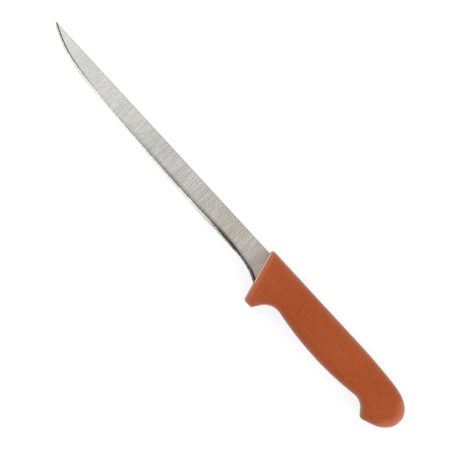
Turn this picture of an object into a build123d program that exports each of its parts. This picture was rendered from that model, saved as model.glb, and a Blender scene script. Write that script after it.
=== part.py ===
from build123d import *
from math import cos, radians, tan
import os

# A fillet knife, lying on the flat cheek of its handle with the point to -X and the spine to +Y.
# It has two pieces: a steel blade with a hidden tang, and a handle moulded around that tang.
# Outlines are drawn from the point where the spine enters the handle: a place is given by how far
# back it lies from there, towards the butt, and how far up it lies, away from the cutting edge.

# Blade, in millimetres
blade_length = 199.0
blade_width = 15.7
bevel_width = 2.4
stock_thickness = 2.0
point_thickness = 0.9
ground_thickness = 0.8
edge_thickness = 0.12
heel_thickness = 1.1
runout_length = 36.0

# Each row: distance from the point as a share of blade_length, edge depth as a share of blade_width,
# and height of the sharpened bevel as a share of bevel_width
blade_shares = (
    (0.000, 0.036, 0.13),
    (0.017, 0.189, 0.63),
    (0.042, 0.332, 0.67),
    (0.067, 0.461, 0.72),
    (0.102, 0.590, 0.76),
    (0.153, 0.707, 0.84),
    (0.204, 0.776, 0.91),
    (0.280, 0.820, 0.76),
    (0.381, 0.859, 0.63),
    (0.483, 0.910, 0.74),
    (0.610, 0.960, 0.83),
    (0.762, 1.000, 1.00),
    (0.863, 0.977, 0.84),
    (0.914, 0.971, 0.78),
    (0.965, 1.013, 0.69),
    (0.990, 1.087, 0.85),
    (1.015, 1.199, 0.95),
    (1.041, 1.361, 0.95),
)

# Tang
tang_length = 96.0
tang_drop = 4.5
tang_shoulder = 16.0
tang_cover = 1.5
tang_rounding = 2.5
tang_belly_wall = 4.8
tang_hole = 6.0
tang_hole_edge = 1.75
tang_hole_spacing = 30.0

# Handle, in millimetres, and the rake of its front in degrees
handle_length = 133.2
handle_width = 18.0
front_rake = 18.0
handle_rise = 2.8
grip_depth = 26.6
guard_reach = 8.1
guard_width = 6.3
guard_flare = 7.0
guard_rounding = 1.6
front_notch_rise = 4.5
front_notch_radius = 12.0
hook_rounding = 3.0
edge_rounding = 6.0
front_rounding = 1.5
pin_mark = 1.3
pin_mark_depth = 0.3
pin_mark_back = 38.6
pin_mark_down = 10.6

# Points of the top, the round butt and the hook: how far in from the butt and down from the top they
# lie, as shares of grip_depth
top_shares = (
    (1.800, 0.000),
    (0.943, 0.032),
    (0.474, 0.091),
    (0.180, 0.225),
    (0.035, 0.394),
)
butt_shares = (
    (0.000, 0.584),
    (0.060, 0.798),
    (0.222, 0.974),
    (0.449, 1.090),
)
hook_tip_shares = (0.700, 1.187)
rear_notch_shares = (0.996, 0.865)
rear_notch_radius_share = 0.393
belly_middle_share = 0.527

# The nose: its length as a share of guard_width, its width at the front as a share of handle_width, and
# its sections as shares of the way forward
nose_length_share = 0.6
nose_width_share = 0.91
nose_shares = (0.0, 0.3, 0.6, 0.8, 1.0)

# The guard reaches furthest down, and the handle's front leans back by rake for each millimetre down.
# Measured along the front, a millimetre down is front_stretch long
belly_depth = grip_depth - handle_rise
guard_depth = belly_depth + guard_reach
rake = tan(radians(front_rake))
front_stretch = 1 / cos(radians(front_rake))

# The plane of symmetry, placed so that the whole knife is centred over the origin
side = Plane(
    origin=(
        (blade_length - handle_length) / 2,
        (guard_depth - handle_rise) / 2,
        handle_width / 2,
    )
)


def across(back):
    """The plane that crosses the knife at a place given by how far back it lies."""
    return Plane(origin=side.from_local_coords((back, 0)), x_dir=(0, 1, 0), z_dir=(1, 0, 0))


def along_front(back):
    """The plane that crosses the knife parallel to the handle's front, at a place given the same way."""
    return Plane(origin=side.from_local_coords((back, 0)), x_dir=(-rake, 1, 0), z_dir=(1, rake, 0))


def from_butt(shares):
    """A place given by its shares of grip_depth, in from the butt and down from the top."""
    inwards, down = shares
    return Vector(handle_length - inwards * grip_depth, handle_rise - down * grip_depth)


# The blade is drawn to just inside the handle, and the tang carries on from there
blade_end = (blade_shares[-1][0] - 1) * blade_length
tang_end_width = tang_hole + 2 * tang_hole_edge
tang_front_depth = belly_depth - tang_belly_wall

with BuildPart() as blade:
    # The ground blade passes through its cross-sections
    for length_share, depth_share, bevel_share in blade_shares:
        back = (length_share - 1) * blade_length
        edge = depth_share * blade_width
        shoulder = edge - bevel_share * bevel_width
        taper = min(1, length_share)
        runout = min(1, max(0, 1 + (back - blade_end) / runout_length)) ** 2
        spine_half = (point_thickness + (stock_thickness - point_thickness) * taper) / 2
        shoulder_half = (ground_thickness + (stock_thickness - ground_thickness) * runout) / 2
        edge_half = (edge_thickness + (heel_thickness - edge_thickness) * runout) / 2
        with BuildSketch(across(back)):
            with BuildLine():
                Polyline(
                    (0, spine_half),
                    (-shoulder, shoulder_half),
                    (-edge, edge_half),
                    (-edge, -edge_half),
                    (-shoulder, -shoulder_half),
                    (0, -spine_half),
                    close=True,
                )
            make_face()
    loft()

    # The tang is punched from the same strip, with two holes that the handle's plastic fills
    with BuildSketch(side) as tang:
        with BuildLine():
            Polyline(
                (rake * tang_rounding + tang_cover, -tang_rounding),
                (blade_end, -tang_rounding),
                (tang_shoulder, -tang_drop),
                (tang_length, -tang_drop),
                (tang_length, -tang_drop - tang_end_width),
                (tang_shoulder, -tang_front_depth),
                (rake * tang_front_depth + tang_cover, -tang_front_depth),
                close=True,
            )
        make_face()
        fillet(tang.vertices().group_by(Axis.X)[-1], tang_rounding)
        with Locations(((tang_shoulder + tang_length) / 2, -tang_drop - tang_end_width / 2)):
            with GridLocations(tang_hole_spacing, 0, 2, 1):
                Circle(tang_hole / 2, mode=Mode.SUBTRACT)
    extrude(amount=stock_thickness / 2, both=True)

# The belly runs from the root of the guard to the hook, and is deepest near its middle
guard_tip = Vector(guard_depth * rake + guard_width, -guard_depth)
front_notch = Vector(guard_tip.X + guard_flare, front_notch_rise - belly_depth)
rear_notch = from_butt(rear_notch_shares)
belly_middle = front_notch.X + belly_middle_share * (rear_notch.X - front_notch.X)

# The top and the butt are drawn through their points, and the hook runs from the butt to its tip
top_points = [from_butt(shares) for shares in top_shares]
butt_points = [from_butt(shares) for shares in butt_shares]
hook_tip = from_butt(hook_tip_shares)

# The nose, whose cheeks draw in towards the front, ends before the roundings behind it begin. Its
# height is measured along the front, and so is its distance up from the spine to its middle
nose_length = nose_length_share * guard_width
nose_height = front_stretch * (handle_rise + guard_depth)
nose_middle = front_stretch * (handle_rise - guard_depth) / 2

with BuildPart() as handle:
    # The side view: guard, two finger notches with the belly between them, hook and round butt
    with BuildSketch(side) as side_view:
        with BuildLine():
            ThreePointArc(front_notch, (belly_middle, -belly_depth), rear_notch)
            Polyline(
                front_notch,
                guard_tip,
                (0, -guard_depth),
                (0, handle_rise),
                top_points[0],
            )
            Spline(*top_points, butt_points[0], tangents=((1, 0), (0, -1)))
            Spline(*butt_points, tangents=((0, -1), hook_tip - butt_points[-1]))
            Polyline(butt_points[-1], hook_tip, rear_notch)
        make_face()
        for corner, radius in (
            (guard_tip, guard_rounding),
            (front_notch, front_notch_radius),
            (rear_notch, rear_notch_radius_share * grip_depth),
            (hook_tip, hook_rounding),
        ):
            fillet(side_view.vertices().sort_by_distance(corner)[0], radius)
    extrude(amount=handle_width / 2, both=True)
    cheek_edges = handle.faces().filter_by(Axis.Z).edges()
    fillet(cheek_edges.filter_by(Axis.Y, reverse=True), edge_rounding)
    split(bisect_by=along_front(nose_length))

    # The nose carries on that section, whose corners are oval because it is cut aslant. It narrows more
    # and more towards the front, and the rim there is round
    with BuildPart(mode=Mode.PRIVATE) as nose:
        for share in nose_shares:
            narrowing = 1 - (1 - nose_width_share) * share**2
            nose_width = narrowing * handle_width
            corner = narrowing * edge_rounding
            flat_height = nose_height - 2 * front_stretch * corner
            flat_width = nose_width - 2 * corner
            with BuildSketch(along_front(nose_length * (1 - share))):
                with Locations((nose_middle, 0)):
                    Rectangle(nose_height, flat_width)
                    Rectangle(flat_height, nose_width)
                    with GridLocations(flat_height, flat_width, 2, 2):
                        Ellipse(front_stretch * corner, corner)
        loft()
        fillet(nose.faces().sort_by_distance(side.origin)[0].edges(), front_rounding)
    add(nose.part)

    # The mould's locating pin left a small pit in one cheek
    with BuildSketch(side.offset(handle_width / 2)):
        with Locations((pin_mark_back, -pin_mark_down)):
            Circle(pin_mark / 2)
    extrude(amount=-pin_mark_depth, mode=Mode.SUBTRACT)

    # The handle is moulded around the tang, and through its holes
    add(blade.part, mode=Mode.SUBTRACT)

os.makedirs("parts", exist_ok=True)
blade.part.label = "blade"
handle.part.label = "handle"
for piece in (blade.part, handle.part):
    export_step(piece, f"parts/{piece.label}.step")
    print(piece.label, "volume", round(piece.volume), "mm3, valid", piece.is_valid)
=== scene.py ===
# %% [markdown]
# A fillet knife: a thin flexible blade, ground bright, in a moulded handle the colour of fired clay.
# The two solids come from the workshop model, already at their real size and place. This lesson gives
# them their finishes, ground steel with a sharpened bevel and matte moulded plastic, and adds the fine
# parting line of the mould. Every length is in metres, with the point of the knife towards -X, the
# spine towards +Y and +Z up.

# %% Load the fixed frame
import math

import bmesh
import bpy
from mathutils import Matrix, Vector
from mathutils.bvhtree import BVHTree


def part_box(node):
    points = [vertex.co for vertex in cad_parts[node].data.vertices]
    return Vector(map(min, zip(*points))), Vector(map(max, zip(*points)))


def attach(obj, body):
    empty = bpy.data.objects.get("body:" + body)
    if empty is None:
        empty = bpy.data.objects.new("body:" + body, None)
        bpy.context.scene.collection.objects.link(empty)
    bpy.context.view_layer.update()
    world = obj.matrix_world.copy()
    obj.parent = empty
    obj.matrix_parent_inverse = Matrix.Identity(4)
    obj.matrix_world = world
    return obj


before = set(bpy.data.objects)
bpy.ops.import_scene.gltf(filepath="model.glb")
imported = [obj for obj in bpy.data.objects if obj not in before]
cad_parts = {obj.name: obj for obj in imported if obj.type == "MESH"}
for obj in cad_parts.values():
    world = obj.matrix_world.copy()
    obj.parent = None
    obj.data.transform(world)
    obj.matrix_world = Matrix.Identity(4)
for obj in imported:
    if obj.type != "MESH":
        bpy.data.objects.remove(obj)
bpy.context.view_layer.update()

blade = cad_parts["blade"]
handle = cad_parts["handle"]
blade_low, blade_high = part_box("blade")
handle_low, handle_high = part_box("handle")

# %% [markdown]
# Shader maths reads best as plain sums. A Shade holds one output socket, and the operators of Python
# are defined on it, so that `1 - mask` or `along * 3` adds the Math node by itself.

# %% Sums of sockets
class Shade:
    """An output socket that can be used in sums."""

    def __init__(self, paint, socket):
        self.paint = paint
        self.socket = socket

    def maths(self, operation, *values):
        return self.paint.node("ShaderNodeMath", {"operation": operation}, values)

    def __add__(self, other):
        return self.maths("ADD", self, other)

    __radd__ = __add__

    def __sub__(self, other):
        return self.maths("SUBTRACT", self, other)

    def __rsub__(self, other):
        return self.maths("SUBTRACT", other, self)

    def __mul__(self, other):
        return self.maths("MULTIPLY", self, other)

    def __truediv__(self, other):
        return self.maths("DIVIDE", self, other)

    def __abs__(self):
        return self.maths("ABSOLUTE", self)

    def sine(self):
        return self.maths("SINE", self)

    def rise(self, start, end):
        """0 up to start, 1 from end on, and a smooth rise between them. End may be below start."""
        settings = {"interpolation_type": "SMOOTHSTEP"}
        return self.paint.node("ShaderNodeMapRange", settings, (self, start, end, 0, 1))


# %% [markdown]
# Paint makes a material, and its method `node` adds any node to it: settings first, then values and
# links. The short methods after it are the nodes that this lesson uses often. A ramp turns a place
# into a colour or a share, a curve turns it into a number, and a noise gives soft random values.

# %% One method for every other node
class Paint:
    """A material with one glossy base shader, and a method that adds nodes to it."""

    def __init__(self, name, **fixed):
        self.material = bpy.data.materials.new(name)
        self.material.use_nodes = True
        self.tree = self.material.node_tree
        self.shader = self.tree.nodes["Principled BSDF"]
        for label, value in fixed.items():
            self.shader.inputs[label.replace("_", " ")].default_value = value

    def node(self, kind, settings=None, values=(), output=0):
        made = self.tree.nodes.new(kind)
        for label, setting in (settings or {}).items():
            if label == "stops":
                fill_ramp(made.color_ramp, setting)
            elif label == "points":
                fill_curve(made.mapping, setting)
            else:
                setattr(made, label, setting)
        pairs = values.items() if isinstance(values, dict) else enumerate(values)
        for label, value in pairs:
            if isinstance(value, Shade):
                self.tree.links.new(value.socket, made.inputs[label])
            else:
                made.inputs[label].default_value = value
        return Shade(self, made.outputs[output])

    def feed(self, label, shade):
        self.tree.links.new(shade.socket, self.shader.inputs[label])

    def parts(self, vector):
        """The X, Y and Z of a vector."""
        return [self.node("ShaderNodeSeparateXYZ", {}, (vector,), output=axis) for axis in "XYZ"]

    def place(self):
        """The place on the piece, in metres, as a vector and as its three parts."""
        vector = self.node("ShaderNodeTexCoord", output="Object")
        return vector, *self.parts(vector)

    def facing(self):
        """The direction in which the surface faces, as its three parts."""
        return self.parts(self.node("ShaderNodeTexCoord", output="Normal"))

    def ramp(self, along, stops):
        return self.node("ShaderNodeValToRGB", {"stops": stops}, (along,))

    def curve(self, along, points):
        return self.node("ShaderNodeFloatCurve", {"points": points}, (1.0, along))

    def mix(self, amount, first, second):
        """A colour between two others."""
        settings = {"data_type": "RGBA", "clamp_factor": True}
        return self.node("ShaderNodeMix", settings, {0: amount, 6: first, 7: second}, output=2)

    def scale(self, colour, amount):
        """A colour made lighter or darker."""
        values = {0: colour, "Scale": amount}
        return self.node("ShaderNodeVectorMath", {"operation": "SCALE"}, values)

    def noise(self, place, cells, detail=2.0, roughness=0.5):
        """Soft random values about 0.5. Cells gives how many blotches a metre holds along X, Y, Z."""
        scaled = self.node("ShaderNodeVectorMath", {"operation": "MULTIPLY"}, (place, cells))
        values = {"Vector": scaled, "Scale": 1.0, "Detail": detail, "Roughness": roughness}
        return self.node("ShaderNodeTexNoise", {}, values)

    def dent(self, height, depth, strength):
        """A dented surface: height from 0 to 1 stands for depth metres."""
        values = {"Strength": strength, "Distance": depth, "Height": height}
        return self.node("ShaderNodeBump", {}, values)


# %% [markdown]
# Ramps and curves are filled from short lists of pairs. Both come with two points, so only the later
# ones are added. A solid is dressed by putting the material into the slots that it came with.

# %% Lists into ramps and curves
def fill_ramp(ramp, stops):
    """Stops are (place, grey) or (place, colour) pairs, in order."""
    for number, (place, colour) in enumerate(stops):
        if number > 1:
            ramp.elements.new(place)
        ramp.elements[number].position = place
        if isinstance(colour, (int, float)):
            colour = (colour, colour, colour)
        ramp.elements[number].color = (*colour, 1)


def fill_curve(mapping, points):
    """A smooth curve through (place, value) pairs, both from 0 to 1."""
    curve = mapping.curves[0]
    for number, (place, value) in enumerate(points):
        if number > 1:
            curve.points.new(place, value)
        curve.points[number].location = (place, value)
    mapping.update()


def dress(node, paint):
    """Gives a solid its finish, in the material slots that it came with."""
    for slot in node.material_slots:
        slot.material = paint.material
    print(node.name, "wears", paint.material.name, "of", len(paint.tree.nodes), "nodes")


# %% [markdown]
# The blade is a strip of stainless steel that was ground across its width, so its marks run from the
# spine to the edge. A narrow bevel, polished by the sharpening wheel, meets the ground face in a
# line of painted shade. Near the handle the bevel was never sharpened, and its facet stays dull and
# dark. All of this follows the cutting edge, so the material needs to know where that edge is. A Float
# Curve holds its depth below the spine for each place along the blade, and a second one the height of
# the bevel. That is simpler than unwrapping the blade, because both are plain functions of the place
# along it.

# %% Where the edge and the bevel run
blade_length = 0.199
blade_width = 0.0157
bevel_width = 0.0024

# Distance from the point as a share of blade_length, depth of the edge as a share of blade_width, and
# height of the bevel as a share of bevel_width
blade_shares = (
    (0.000, 0.036, 0.13),
    (0.017, 0.189, 0.63),
    (0.042, 0.332, 0.67),
    (0.067, 0.461, 0.72),
    (0.102, 0.590, 0.76),
    (0.153, 0.707, 0.84),
    (0.204, 0.776, 0.91),
    (0.280, 0.820, 0.76),
    (0.381, 0.859, 0.63),
    (0.483, 0.910, 0.74),
    (0.610, 0.960, 0.83),
    (0.762, 1.000, 1.00),
    (0.863, 0.977, 0.84),
    (0.914, 0.971, 0.78),
    (0.965, 1.013, 0.69),
    (0.990, 1.087, 0.85),
    (1.015, 1.199, 0.95),
    (1.041, 1.361, 0.95),
)
longest_share = blade_shares[-1][0]
deepest_share = max(depth for _, depth, _ in blade_shares)
drawn_length = longest_share * blade_length
edge_points = [(along / longest_share, depth / deepest_share) for along, depth, _ in blade_shares]
bevel_points = [(along / longest_share, height) for along, _, height in blade_shares]
print("the edge lies", round(deepest_share * blade_width * 1000, 1), "mm below the spine at most")

# %% [markdown]
# The ground face is brightest towards the point, and darker and warmer towards the handle, partly
# because its grind is rougher there and partly as painted shade. Its tint at a few places along the
# blade was judged by comparing average brightness, and the dark stretch just beside the handle is
# painted shade and reflection of the handle. From about the middle of the blade on, a painted shade
# darkens the face just above the bevel, for the hollow left by the wheel. A thin painted shade ends
# the face at the spine, for its rounded corner.

# %% Tint of the ground face
# Distance from the point as a share of drawn_length, and colour
# The tints hold painted shade: darker towards the handle, and darkest just beside it.
ground_tints_and_shade = (
    (0.07, (0.770, 0.762, 0.728)),
    (0.15, (0.680, 0.672, 0.641)),
    (0.23, (0.712, 0.705, 0.675)),
    (0.35, (0.650, 0.642, 0.610)),
    (0.49, (0.592, 0.577, 0.543)),
    (0.63, (0.588, 0.564, 0.526)),
    (0.73, (0.545, 0.515, 0.470)),
    (0.83, (0.515, 0.478, 0.426)),
    (0.88, (0.565, 0.525, 0.475)),
    (0.93, (0.500, 0.455, 0.412)),
    (0.95, (0.405, 0.357, 0.315)),
    (0.98, (0.455, 0.405, 0.365)),
)

# The same distance, and how much darker the painted shade of the hollow is
painted_hollow_shares = (
    (0.33, 0.0),
    (0.50, 0.3),
    (0.60, 0.45),
    (0.68, 0.35),
    (0.77, 0.55),
    (0.81, 0.8),
    (0.85, 0.65),
    (0.89, 0.35),
    (0.95, 0.1),
)
painted_hollow_height = 0.0026
spine_line = 0.0012
spine_darkening = 0.12

steel = Paint("ground_steel", Metallic=1.0)
place, along_x, up_y, _ = steel.place()
along = (along_x - blade_low.x) / drawn_length
edge_depth = steel.curve(along, edge_points) * (deepest_share * blade_width)
bevel_height = steel.curve(along, bevel_points) * bevel_width
spine_drop = blade_high.y - up_y
from_shoulder = spine_drop + bevel_height - edge_depth
# The hollow is painted shade, laid into the colour of the ground face.
painted_hollow_shade = steel.ramp(along, painted_hollow_shares) * from_shoulder.rise(-painted_hollow_height, 0.0)
# A thin painted shade along the spine, for its rounded corner.
painted_spine_shade = spine_drop.rise(spine_line, 0.0) * spine_darkening
tint_and_shade = steel.ramp(along, ground_tints_and_shade)

# %% [markdown]
# The grinding marks run across the blade. Noises stretched from spine to edge make the scratches, the
# shorter nicks and the hairlines. Two waves, 1.35 mm and 1.9 mm long, make the faint ripple that the
# wheel leaves. Each shows on its own stretch of the blade, and a slow drift keeps it from being even.
# Scratches and nicks grow stronger towards the handle.

# %% Grinding marks
# Distance from the point as a share of drawn_length, and strength
scratch_shares = ((0.00, 0.4), (0.12, 0.5), (0.22, 0.8), (0.55, 0.9), (1.00, 1.0))
fine_shares = ((0.00, 0.0), (0.15, 0.3), (0.22, 1.0), (0.50, 0.7), (0.57, 0.2), (1.00, 0.2))
coarse_shares = ((0.00, 0.0), (0.50, 0.1), (0.57, 1.0), (0.66, 0.9), (0.75, 0.4), (0.88, 0.9))
fine_pitch = 0.00135
coarse_pitch = 0.0019
fine_wander = 30.0
coarse_wander = 24.0

# How far each kind of mark changes the brightness, as a share of it
scratch_effect = 0.75
nick_effect = 0.75
fine_effect = 0.08
coarse_effect = 0.1
drift_effect = 0.08
noise_mean = 0.5

scratches = steel.noise(place, (1050.0, 60.0, 60.0), roughness=0.6)
nicks = steel.noise(place, (1500.0, 700.0, 700.0), roughness=0.6)
hairlines = steel.noise(place, (5200.0, 130.0, 130.0))
drift = steel.noise(place, (28.0, 12.0, 12.0), detail=1.0)
fine_wave = (along_x * (math.tau / fine_pitch) + drift * fine_wander).sine()
coarse_wave = (along_x * (math.tau / coarse_pitch) + drift * coarse_wander).sine()
fine = fine_wave * steel.ramp(along, fine_shares)
coarse = coarse_wave * steel.ramp(along, coarse_shares)
cuts = (scratches - noise_mean) * scratch_effect + (nicks - noise_mean) * nick_effect
marks = cuts * steel.ramp(along, scratch_shares)
marks = marks + fine * fine_effect + coarse * coarse_effect + (drift - noise_mean) * drift_effect
ground = steel.scale(tint_and_shade, (1.0 + marks) * (1.0 - painted_hollow_shade) * (1.0 - painted_spine_shade))
print("ripples are", round(fine_pitch * 1000, 2), "and", round(coarse_pitch * 1000, 2), "mm long")

# %% [markdown]
# The bevel was polished by a finer wheel, and its near-white colour as far as the heel is partly that
# polish and partly painted reflection of the white surroundings. There it was never sharpened: its
# facet is dark and speckled, and lighter towards its outer edge.

# %% Bevel
# Distance from the point as a share of drawn_length, and colour
# The near-white tints are partly painted reflection of the white surroundings.
bevel_tints_with_reflection = (
    (0.05, (0.78, 0.77, 0.73)),
    (0.10, (0.96, 0.945, 0.89)),
    (0.16, (0.83, 0.80, 0.75)),
    (0.24, (0.95, 0.94, 0.905)),
    (0.43, (0.985, 0.96, 0.925)),
    (0.53, (0.88, 0.84, 0.79)),
    (0.68, (0.91, 0.88, 0.83)),
    (0.735, (0.79, 0.76, 0.715)),
    (0.79, (0.54, 0.52, 0.495)),
    (0.825, (0.46, 0.45, 0.42)),
    (0.86, (0.135, 0.13, 0.125)),
    (0.90, (0.17, 0.16, 0.15)),
    (0.95, (0.15, 0.135, 0.13)),
)

# Where each zone begins and where it is full: along the blade, across the bevel, and in the speckle
heel_span = (0.76, 0.86)
outer_span = (0.35, 0.75)
bright_specks = (0.44, 0.62)
heel_darkening = 0.35
speck_brightening = 2.4
bevel_scratch_effect = 0.2
bevel_speckle_effect = 0.4

speckle = steel.noise(place, (2100.0, 500.0, 500.0), roughness=0.6)
heel = along.rise(*heel_span)
outer_half = (from_shoulder / bevel_height).rise(*outer_span)
specks = heel * outer_half * speckle.rise(*bright_specks)
bevel_shading = 1.0 - heel * heel_darkening + specks * speck_brightening
bevel_scratches = (scratches - noise_mean) * bevel_scratch_effect
bevel_speckle = (speckle - noise_mean) * bevel_speckle_effect
bevel = steel.scale(steel.ramp(along, bevel_tints_with_reflection), bevel_shading + (bevel_scratches + bevel_speckle))

# %% [markdown]
# The line where bevel and ground face meet is painted shade, for the dark that the corner between
# them reflects, and it is widest at the point and at the heel. In places it lies a little nearer to
# the edge than the true corner. The scratches that cross it make it ragged, and along most of the
# blade bare specks break it up.

# %% The painted shade line between them
# Distance from the point as a share of drawn_length, and then the line's grey, its width as a share of
# widest_line, and its shift as a share of furthest_shift
painted_line_greys = (
    (0.00, 0.015),
    (0.10, 0.04),
    (0.16, 0.14),
    (0.22, 0.24),
    (0.30, 0.24),
    (0.55, 0.08),
    (0.75, 0.03),
    (0.82, 0.02),
    (0.88, 0.03),
    (0.92, 0.14),
    (0.97, 0.02),
    (1.00, 0.01),
)
line_widths = (
    (0.00, 0.62),
    (0.10, 0.57),
    (0.18, 0.42),
    (0.24, 0.32),
    (0.45, 0.32),
    (0.52, 0.38),
    (0.62, 0.37),
    (0.75, 0.5),
    (0.80, 0.58),
    (0.86, 0.85),
    (0.91, 0.6),
    (1.00, 0.75),
)
line_shifts = (
    (0.00, 0.0),
    (0.30, 0.2),
    (0.45, 0.8),
    (0.62, 0.8),
    (0.75, 0.3),
    (0.84, 1.0),
    (0.90, 0.6),
)
widest_line = 0.0013
furthest_shift = 0.0004
raggedness = 0.001
line_softness = 0.3
broken_from = (0.1, 0.3)
broken_to = (0.86, 0.78)
bare_specks = (0.48, 0.6)
bare_share = 0.7

line_half = steel.ramp(along, line_widths) * (widest_line / 2)
line_shift = steel.ramp(along, line_shifts) * furthest_shift
ragged = from_shoulder - line_shift + (scratches + nicks - 2 * noise_mean) * raggedness
broken = along.rise(*broken_from) * along.rise(*broken_to) * speckle.rise(*bare_specks) * bare_share
outside = line_half * (1 + line_softness)
inside = line_half * (1 - line_softness)
# The line is painted shade: a dark colour along the corner of bevel and ground face.
line = abs(ragged).rise(outside, inside) * (1.0 - broken)

# %% [markdown]
# The three parts of the steel are laid over each other: ground face, bevel and line. The scratches also
# change the roughness a little and dent the surface by up to two hundredths of a millimetre, which
# spreads the reflections as real grinding does. The facet that was never sharpened is rougher.

# %% Steel
steel_roughness = 0.26
scratch_roughness = 0.16
heel_roughness = 0.2
scratch_share = 0.7
hairline_share = 0.3
scratch_depth = 0.00002
scratch_relief = 0.5

colour = steel.mix(ragged.rise(0.0, line_half), ground, bevel)
colour = steel.mix(line, colour, steel.ramp(along, painted_line_greys))
roughness = steel_roughness + scratches * scratch_roughness + heel * outer_half * heel_roughness
relief = scratches * scratch_share + hairlines * hairline_share
steel.feed("Base Color", colour)
steel.feed("Roughness", roughness)
steel.feed("Normal", steel.dent(relief, scratch_depth, scratch_relief))
dress(blade, steel)

# %% [markdown]
# The handle is one moulding with a fine matte texture from the etched mould, so it scatters light
# almost evenly and shows only a faint sheen. Three noises give it life: the finest dents the surface,
# a coarser one mottles the colour, and a slow one lets it drift. The colour is also a little paler
# near the front and the butt, and deeper over the front of the grip and over the rear notch, where it
# is painted shade of that hollow.

# %% Moulded plastic
clay = (0.338, 0.056, 0.0075, 1)
pale_clay = (0.392, 0.078, 0.0155, 1)
front_x = blade_low.x + blade_length

# Distance from the front as a share of the handle's length, and tone: 0.5 is plain, and less is deeper
# The dip over the rear notch is painted shade of that hollow.
handle_tones_and_notch_shade = (
    (0.00, 0.65),
    (0.15, 0.62),
    (0.19, 0.50),
    (0.24, 0.25),
    (0.31, 0.06),
    (0.36, 0.20),
    (0.42, 0.43),
    (0.55, 0.45),
    (0.68, 0.60),
    (0.76, 0.50),
    (0.82, 0.35),
    (0.90, 0.50),
    (0.95, 0.60),
)
plain_tone = 0.5
tone_effect = 0.24
mottle_share = 0.75
flow_share = 0.25
tone_span = (0.3, 0.7)

plastic = Paint("moulded_plastic", Specular_IOR_Level=0.2, Sheen_Weight=0.35, Sheen_Roughness=0.45)
place, along_x, up_y, _ = plastic.place()
mottle = plastic.noise(place, (700.0, 700.0, 700.0), detail=3.0, roughness=0.6)
flow = plastic.noise(place, (45.0, 70.0, 70.0))
grain = plastic.noise(place, (2600.0, 2600.0, 2600.0))
drawn_tones_and_shade = plastic.ramp((along_x - front_x) / (handle_high.x - front_x), handle_tones_and_notch_shade)
tone = mottle * mottle_share + flow * flow_share + (drawn_tones_and_shade - plain_tone) * tone_effect
colour = plastic.mix(tone.rise(*tone_span), clay, pale_clay)

# %% [markdown]
# Painted light and shade are laid on the plastic here. The rounded flanks are painted paler for the
# sheen along them, both ends paler for the light and sheen of the lamps beyond them, and a little near
# the front and down on the guard and the hook, where their rounding catches the light. The flanks that
# face spine and belly are painted a shade deeper, the belly most. Each effect has a span, from where it
# begins to where it is full. The span is a distance in metres, or a range of one part of the direction
# that the surface faces, which is 1 where it faces straight along the axis. A span that ends past 1
# never gets full.

# %% Painted light and shade on the handle
# A pale colour for painted light on the ends, the front and the foot of the handle.
painted_light_clay = (0.75, 0.31, 0.18, 1)
front_rake = math.radians(18.0)
nose_span = (0.006, 0.003)
butt_span = (0.013, 0.0065)
side_span = (0.0, 0.3)
side_shade_strength = 0.02
belly_span = (0.0, -0.3)
belly_shade_strength = 0.012
turned_span = (0.0, 0.12)
turned_light = 0.12
end_span = (0.0, 1.2)
end_light = 0.45
front_span = (0.009, 0.001)
front_light = 0.035
lowest_span = (0.009, 0.002)
lowest_light = 0.04
flank_span = (0.95, 0.3)
flank_sheen = 0.09

facing_x, facing_y, facing_z = plastic.facing()
facing_end = abs(facing_x)
facing_cheek = abs(facing_z)
from_front = along_x - front_x + (up_y - blade_high.y) * math.tan(front_rake)
from_butt = handle_high.x - along_x
from_lowest = up_y - handle_low.y
near_end = from_front.rise(*nose_span) + from_butt.rise(*butt_span)
# Painted shade: the flanks that face spine and belly are darkened, the belly most.
painted_side_shade = abs(facing_y).rise(*side_span) * side_shade_strength
painted_belly_shade = facing_y.rise(*belly_span) * belly_shade_strength
turned = facing_end.rise(*turned_span) * turned_light
# Painted light and sheen on both ends, which face the lamps beyond them.
painted_end_light = near_end * (turned + facing_end.rise(*end_span) * end_light)
# Painted light near the front and on the guard and the hook.
painted_front_and_foot_light = from_front.rise(*front_span) * front_light + from_lowest.rise(*lowest_span) * lowest_light
# Painted sheen on the rounded flanks.
painted_flank_sheen = facing_cheek.rise(*flank_span) * flank_sheen

# %% [markdown]
# Where the blade comes out, the front of the handle ends in a thin pale rim, a painted highlight
# where the rounded edge catches the light, and it shows only beside the blade. Then the layers of the
# plastic are put together in the same way as those of the steel.

# %% Painted rim highlight and plastic
# A pale colour for the painted sheen of the flanks and the painted highlight of the rim.
sheen_and_highlight_clay = (0.95, 0.68, 0.52, 1)
rim_span = (0.0007, 0.00014)
rim_facing = (0.02, 0.3)
rim_highlight_strength = 0.8
rim_fade = 0.001
blade_foot = 0.0195
plastic_roughness = 0.48
grain_roughness = 0.16
grain_depth = 0.00004
grain_relief = 0.4

spine_drop = blade_high.y - up_y
below_spine = spine_drop.rise(-rim_fade, rim_fade)
above_foot = spine_drop.rise(blade_foot + rim_fade, blade_foot - rim_fade)
beside_blade = below_spine * above_foot
# Painted highlight along the front rim, beside the blade.
painted_rim_highlight = from_front.rise(*rim_span) * facing_cheek.rise(*rim_facing) * beside_blade * rim_highlight_strength
colour = plastic.scale(colour, 1.0 - (painted_side_shade + painted_belly_shade))
colour = plastic.mix(painted_end_light + painted_front_and_foot_light, colour, painted_light_clay)
colour = plastic.mix(painted_flank_sheen, colour, sheen_and_highlight_clay)
plastic.feed("Base Color", plastic.mix(painted_rim_highlight, colour, sheen_and_highlight_clay))
plastic.feed("Roughness", plastic_roughness + grain * grain_roughness)
plastic.feed("Normal", plastic.dent(grain, grain_depth, grain_relief))
dress(handle, plastic)

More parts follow.
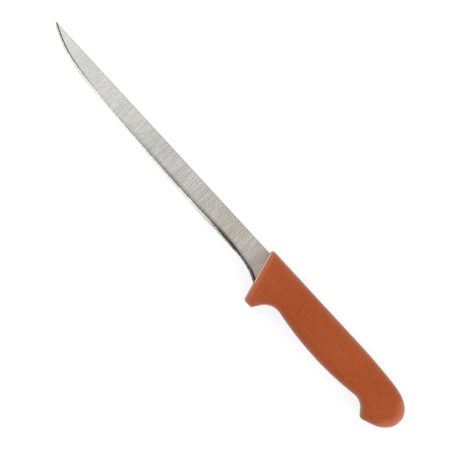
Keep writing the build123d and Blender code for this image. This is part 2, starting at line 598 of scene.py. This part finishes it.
# %% [markdown]
# The two halves of the mould meet halfway up the handle, and a little plastic creeps between them. It
# leaves a hair-thin ridge all round, which the hand hardly feels. Cutting the handle's mesh at that
# height gives the path of the ridge. Edges that lie against the blade belong to the pocket inside, so
# they are left out, and so are edges without length, which a curve can't follow.

# %% The path of the parting line
parting_height = (handle_low.z + handle_high.z) / 2
weld_distance = 0.000001
pocket_gap = 0.00005
decimals = 7

cut = bmesh.new()
cut.from_mesh(handle.data)
bmesh.ops.remove_doubles(cut, verts=cut.verts, dist=weld_distance)
everything = cut.verts[:] + cut.edges[:] + cut.faces[:]
level = {"plane_co": (0, 0, parting_height), "plane_no": (0, 0, 1)}
found = bmesh.ops.bisect_plane(cut, geom=everything, **level)["geom_cut"]
steel_surface = BVHTree.FromPolygons(
    [vertex.co for vertex in blade.data.vertices],
    [face.vertices[:] for face in blade.data.polygons],
)
edges = set()
for edge in found:
    if isinstance(edge, bmesh.types.BMEdge):
        middle = (edge.verts[0].co + edge.verts[1].co) / 2
        first, last = sorted(vertex.co.to_tuple(decimals) for vertex in edge.verts)
        if first != last and steel_surface.find_nearest(middle)[3] > pocket_gap:
            edges.add((first, last))
cut.free()
corners = sorted({corner for edge in edges for corner in edge})
numbers = {corner: number for number, corner in enumerate(corners)}
pairs = sorted((numbers[first], numbers[last]) for first, last in edges)
path_mesh = bpy.data.meshes.new("parting_path")
path_mesh.from_pydata(corners, pairs, [])
print("the parting line follows", len(edges), "edges")

# %% [markdown]
# Geometry Nodes sweep a small circle along that path. Its thickness swells and fades slowly, as a real
# parting line does, and the sizes are named inputs of the tree, so they can be changed in one place.

# %% The tree that grows a ridge
ridge_sizes = {"Thickness": 0.0001, "Unevenness": 0.6, "Swells per metre": 60.0, "Point spacing": 0.0008}
circle_sides = 6
weakest_swell = 0.3
fullest_swell = 0.7

tree = bpy.data.node_groups.new("parting_line", "GeometryNodeTree")
tree.interface.new_socket("Geometry", in_out="INPUT", socket_type="NodeSocketGeometry")
tree.interface.new_socket("Geometry", in_out="OUTPUT", socket_type="NodeSocketGeometry")
for label in ridge_sizes:
    tree.interface.new_socket(label, in_out="INPUT", socket_type="NodeSocketFloat")


def add(kind, links, **settings):
    """Adds a node, linked by (input, value or output socket) pairs, and gives its outputs."""
    made = tree.nodes.new(kind)
    for label, setting in settings.items():
        setattr(made, label, setting)
    for label, value in links:
        if isinstance(value, bpy.types.NodeSocket):
            tree.links.new(value, made.inputs[label])
        else:
            made.inputs[label].default_value = value
    return made.outputs


given = add("NodeGroupInput", [])
path_curve = add("GeometryNodeMeshToCurve", [("Mesh", given["Geometry"])])[0]
links = [("Curve", path_curve), ("Length", given["Point spacing"])]
evenly = add("GeometryNodeResampleCurve", links, mode="LENGTH")[0]
swelling = add("ShaderNodeTexNoise", [("Scale", given["Swells per metre"])])[0]
least = add("ShaderNodeMath", [(0, 1.0), (1, given["Unevenness"])], operation="SUBTRACT")[0]
limits = [("From Min", weakest_swell), ("From Max", fullest_swell), ("To Min", least)]
widths = add("ShaderNodeMapRange", [("Value", swelling), *limits])[0]
sized = add("GeometryNodeSetCurveRadius", [("Curve", evenly), ("Radius", widths)])[0]
links = [("Resolution", circle_sides), ("Radius", given["Thickness"])]
circle = add("GeometryNodeCurvePrimitiveCircle", links)[0]
links = [("Curve", sized), ("Profile Curve", circle), ("Scale", widths)]
swept = add("GeometryNodeCurveToMesh", links)[0]
real = add("GeometryNodeRealizeInstances", [("Geometry", swept)])[0]
dressed = add("GeometryNodeSetMaterial", [("Geometry", real), ("Material", plastic.material)])[0]
add("NodeGroupOutput", [("Geometry", dressed)])

# %% [markdown]
# The tree grows the ridge as a modifier on the path. Its result is then kept as a plain mesh of the
# handle's own plastic, which rides on the knife's one body.

# %% The ridge
ridge = bpy.data.objects.new("parting_line", path_mesh)
bpy.context.scene.collection.objects.link(ridge)
modifier = ridge.modifiers.new("parting_line", "NODES")
modifier.node_group = tree
for item in tree.interface.items_tree:
    if item.name in ridge_sizes:
        modifier[item.identifier] = ridge_sizes[item.name]
grown = ridge.evaluated_get(bpy.context.evaluated_depsgraph_get())
ridge_mesh = bpy.data.meshes.new_from_object(grown)
ridge.modifiers.remove(modifier)
ridge.data = ridge_mesh
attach(ridge, "root")
print("the ridge has", len(ridge.data.polygons), "faces")

# %% [markdown]
# The floor is a plain white sheet. Its own colour is lit by the lamps, so it keeps the soft shadow of
# the knife. A glow that only the camera and mirror-like surfaces see brings it up to white. The sheet
# lies a twentieth of a millimetre low, so that it never flickers through the cheek that rests on it.

# %% Floor
floor_half = 3.0
floor_drop = 0.00005
floor_grey = 0.34
floor_glow = 0.73

floor_corners = [
    (-floor_half, -floor_half, -floor_drop),
    (floor_half, -floor_half, -floor_drop),
    (floor_half, floor_half, -floor_drop),
    (-floor_half, floor_half, -floor_drop),
]
floor_mesh = bpy.data.meshes.new("floor")
floor_mesh.from_pydata(floor_corners, [], [(0, 1, 2, 3)])
floor = bpy.data.objects.new("floor", floor_mesh)
bpy.context.scene.collection.objects.link(floor)

sheet = Paint("white_sheet", Roughness=1.0, Specular_IOR_Level=0.0, Emission_Strength=floor_glow)
sheet.shader.inputs["Base Color"].default_value = (floor_grey, floor_grey, floor_grey, 1)
camera_ray = sheet.node("ShaderNodeLightPath", output="Is Camera Ray")
glossy_ray = sheet.node("ShaderNodeLightPath", output="Is Glossy Ray")
sheet.feed("Emission Color", camera_ray + glossy_ray)
floor_mesh.materials.append(sheet.material)

# %% [markdown]
# The studio is a bright tent: an even white sky, which the camera sees a little brighter than it
# shines. The second strength is what the camera sees, also through clear things.

# %% Sky
sky_strength = 0.92
seen_strength = 1.0

world = bpy.data.worlds.new("tent")
bpy.context.scene.world = world
world.use_nodes = True
sky_tree = world.node_tree
background = sky_tree.nodes["Background"]
background.inputs["Color"].default_value = (1, 1, 1, 1)
ray = sky_tree.nodes.new("ShaderNodeLightPath")
seen = sky_tree.nodes.new("ShaderNodeMath")
seen.operation = "MAXIMUM"
strength = sky_tree.nodes.new("ShaderNodeMix")
strength.inputs[2].default_value = sky_strength
strength.inputs[3].default_value = seen_strength
sky_tree.links.new(ray.outputs["Is Camera Ray"], seen.inputs[0])
sky_tree.links.new(ray.outputs["Is Transmission Ray"], seen.inputs[1])
sky_tree.links.new(seen.outputs[0], strength.inputs[0])
sky_tree.links.new(strength.outputs[0], background.inputs["Strength"])

# %% [markdown]
# Three soft lamps stand low around the knife: beyond the point, beyond the butt and on the side of the
# spine. They leave the round rims that face them a little paler than the flat cheek, and the belly of
# the handle a little darker. The lamps are hidden from the camera.

# %% Lamps
lamp_distance = 1.5
lamp_size = 0.7

# Name, direction from the knife, and power in watts
lamps = (
    ("point_side_lamp", (-0.89, 0.0, 0.45), 2.2),
    ("butt_side_lamp", (0.89, 0.0, 0.45), 2.2),
    ("spine_side_lamp", (0.0, 0.87, 0.5), 2.8),
)
for name, direction, power in lamps:
    light = bpy.data.lights.new(name, "AREA")
    light.size = lamp_size
    light.energy = power
    lamp = bpy.data.objects.new(name, light)
    towards = Vector(direction).normalized()
    lamp.location = towards * lamp_distance
    lamp.rotation_mode = "QUATERNION"
    lamp.rotation_quaternion = towards.to_track_quat("Z", "Y")
    lamp.visible_camera = False
    bpy.context.scene.collection.objects.link(lamp)
print("the lamps give", round(sum(power for _, _, power in lamps), 1), "watts")

# %% [markdown]
# The camera looks straight down on the knife, turned so that it lies from the upper left to the lower
# right. A long lens keeps the perspective flat, as in a catalogue picture.

# %% Camera
frame_width = 0.28395
lens_ratio = 5.0
sensor_width = 36.0
knife_turn = math.radians(47.34)
aim = Vector((0.00035, 0.00587, 0.009))
right = Vector((math.cos(knife_turn), math.sin(knife_turn), 0))
up = Vector((-math.sin(knife_turn), math.cos(knife_turn), 0))
distance = frame_width * lens_ratio

camera_data = bpy.data.cameras.new("camera")
camera_data.sensor_width = sensor_width
camera_data.lens = sensor_width * lens_ratio
camera = bpy.data.objects.new("camera", camera_data)
turn = Matrix((right, up, Vector((0, 0, 1)))).transposed()
camera.matrix_world = Matrix.Translation(aim + Vector((0, 0, distance))) @ turn.to_4x4()
bpy.context.scene.collection.objects.link(camera)
bpy.context.scene.camera = camera
bpy.context.scene.view_settings.view_transform = "Standard"
print("camera is", round(distance, 2), "m above the knife")
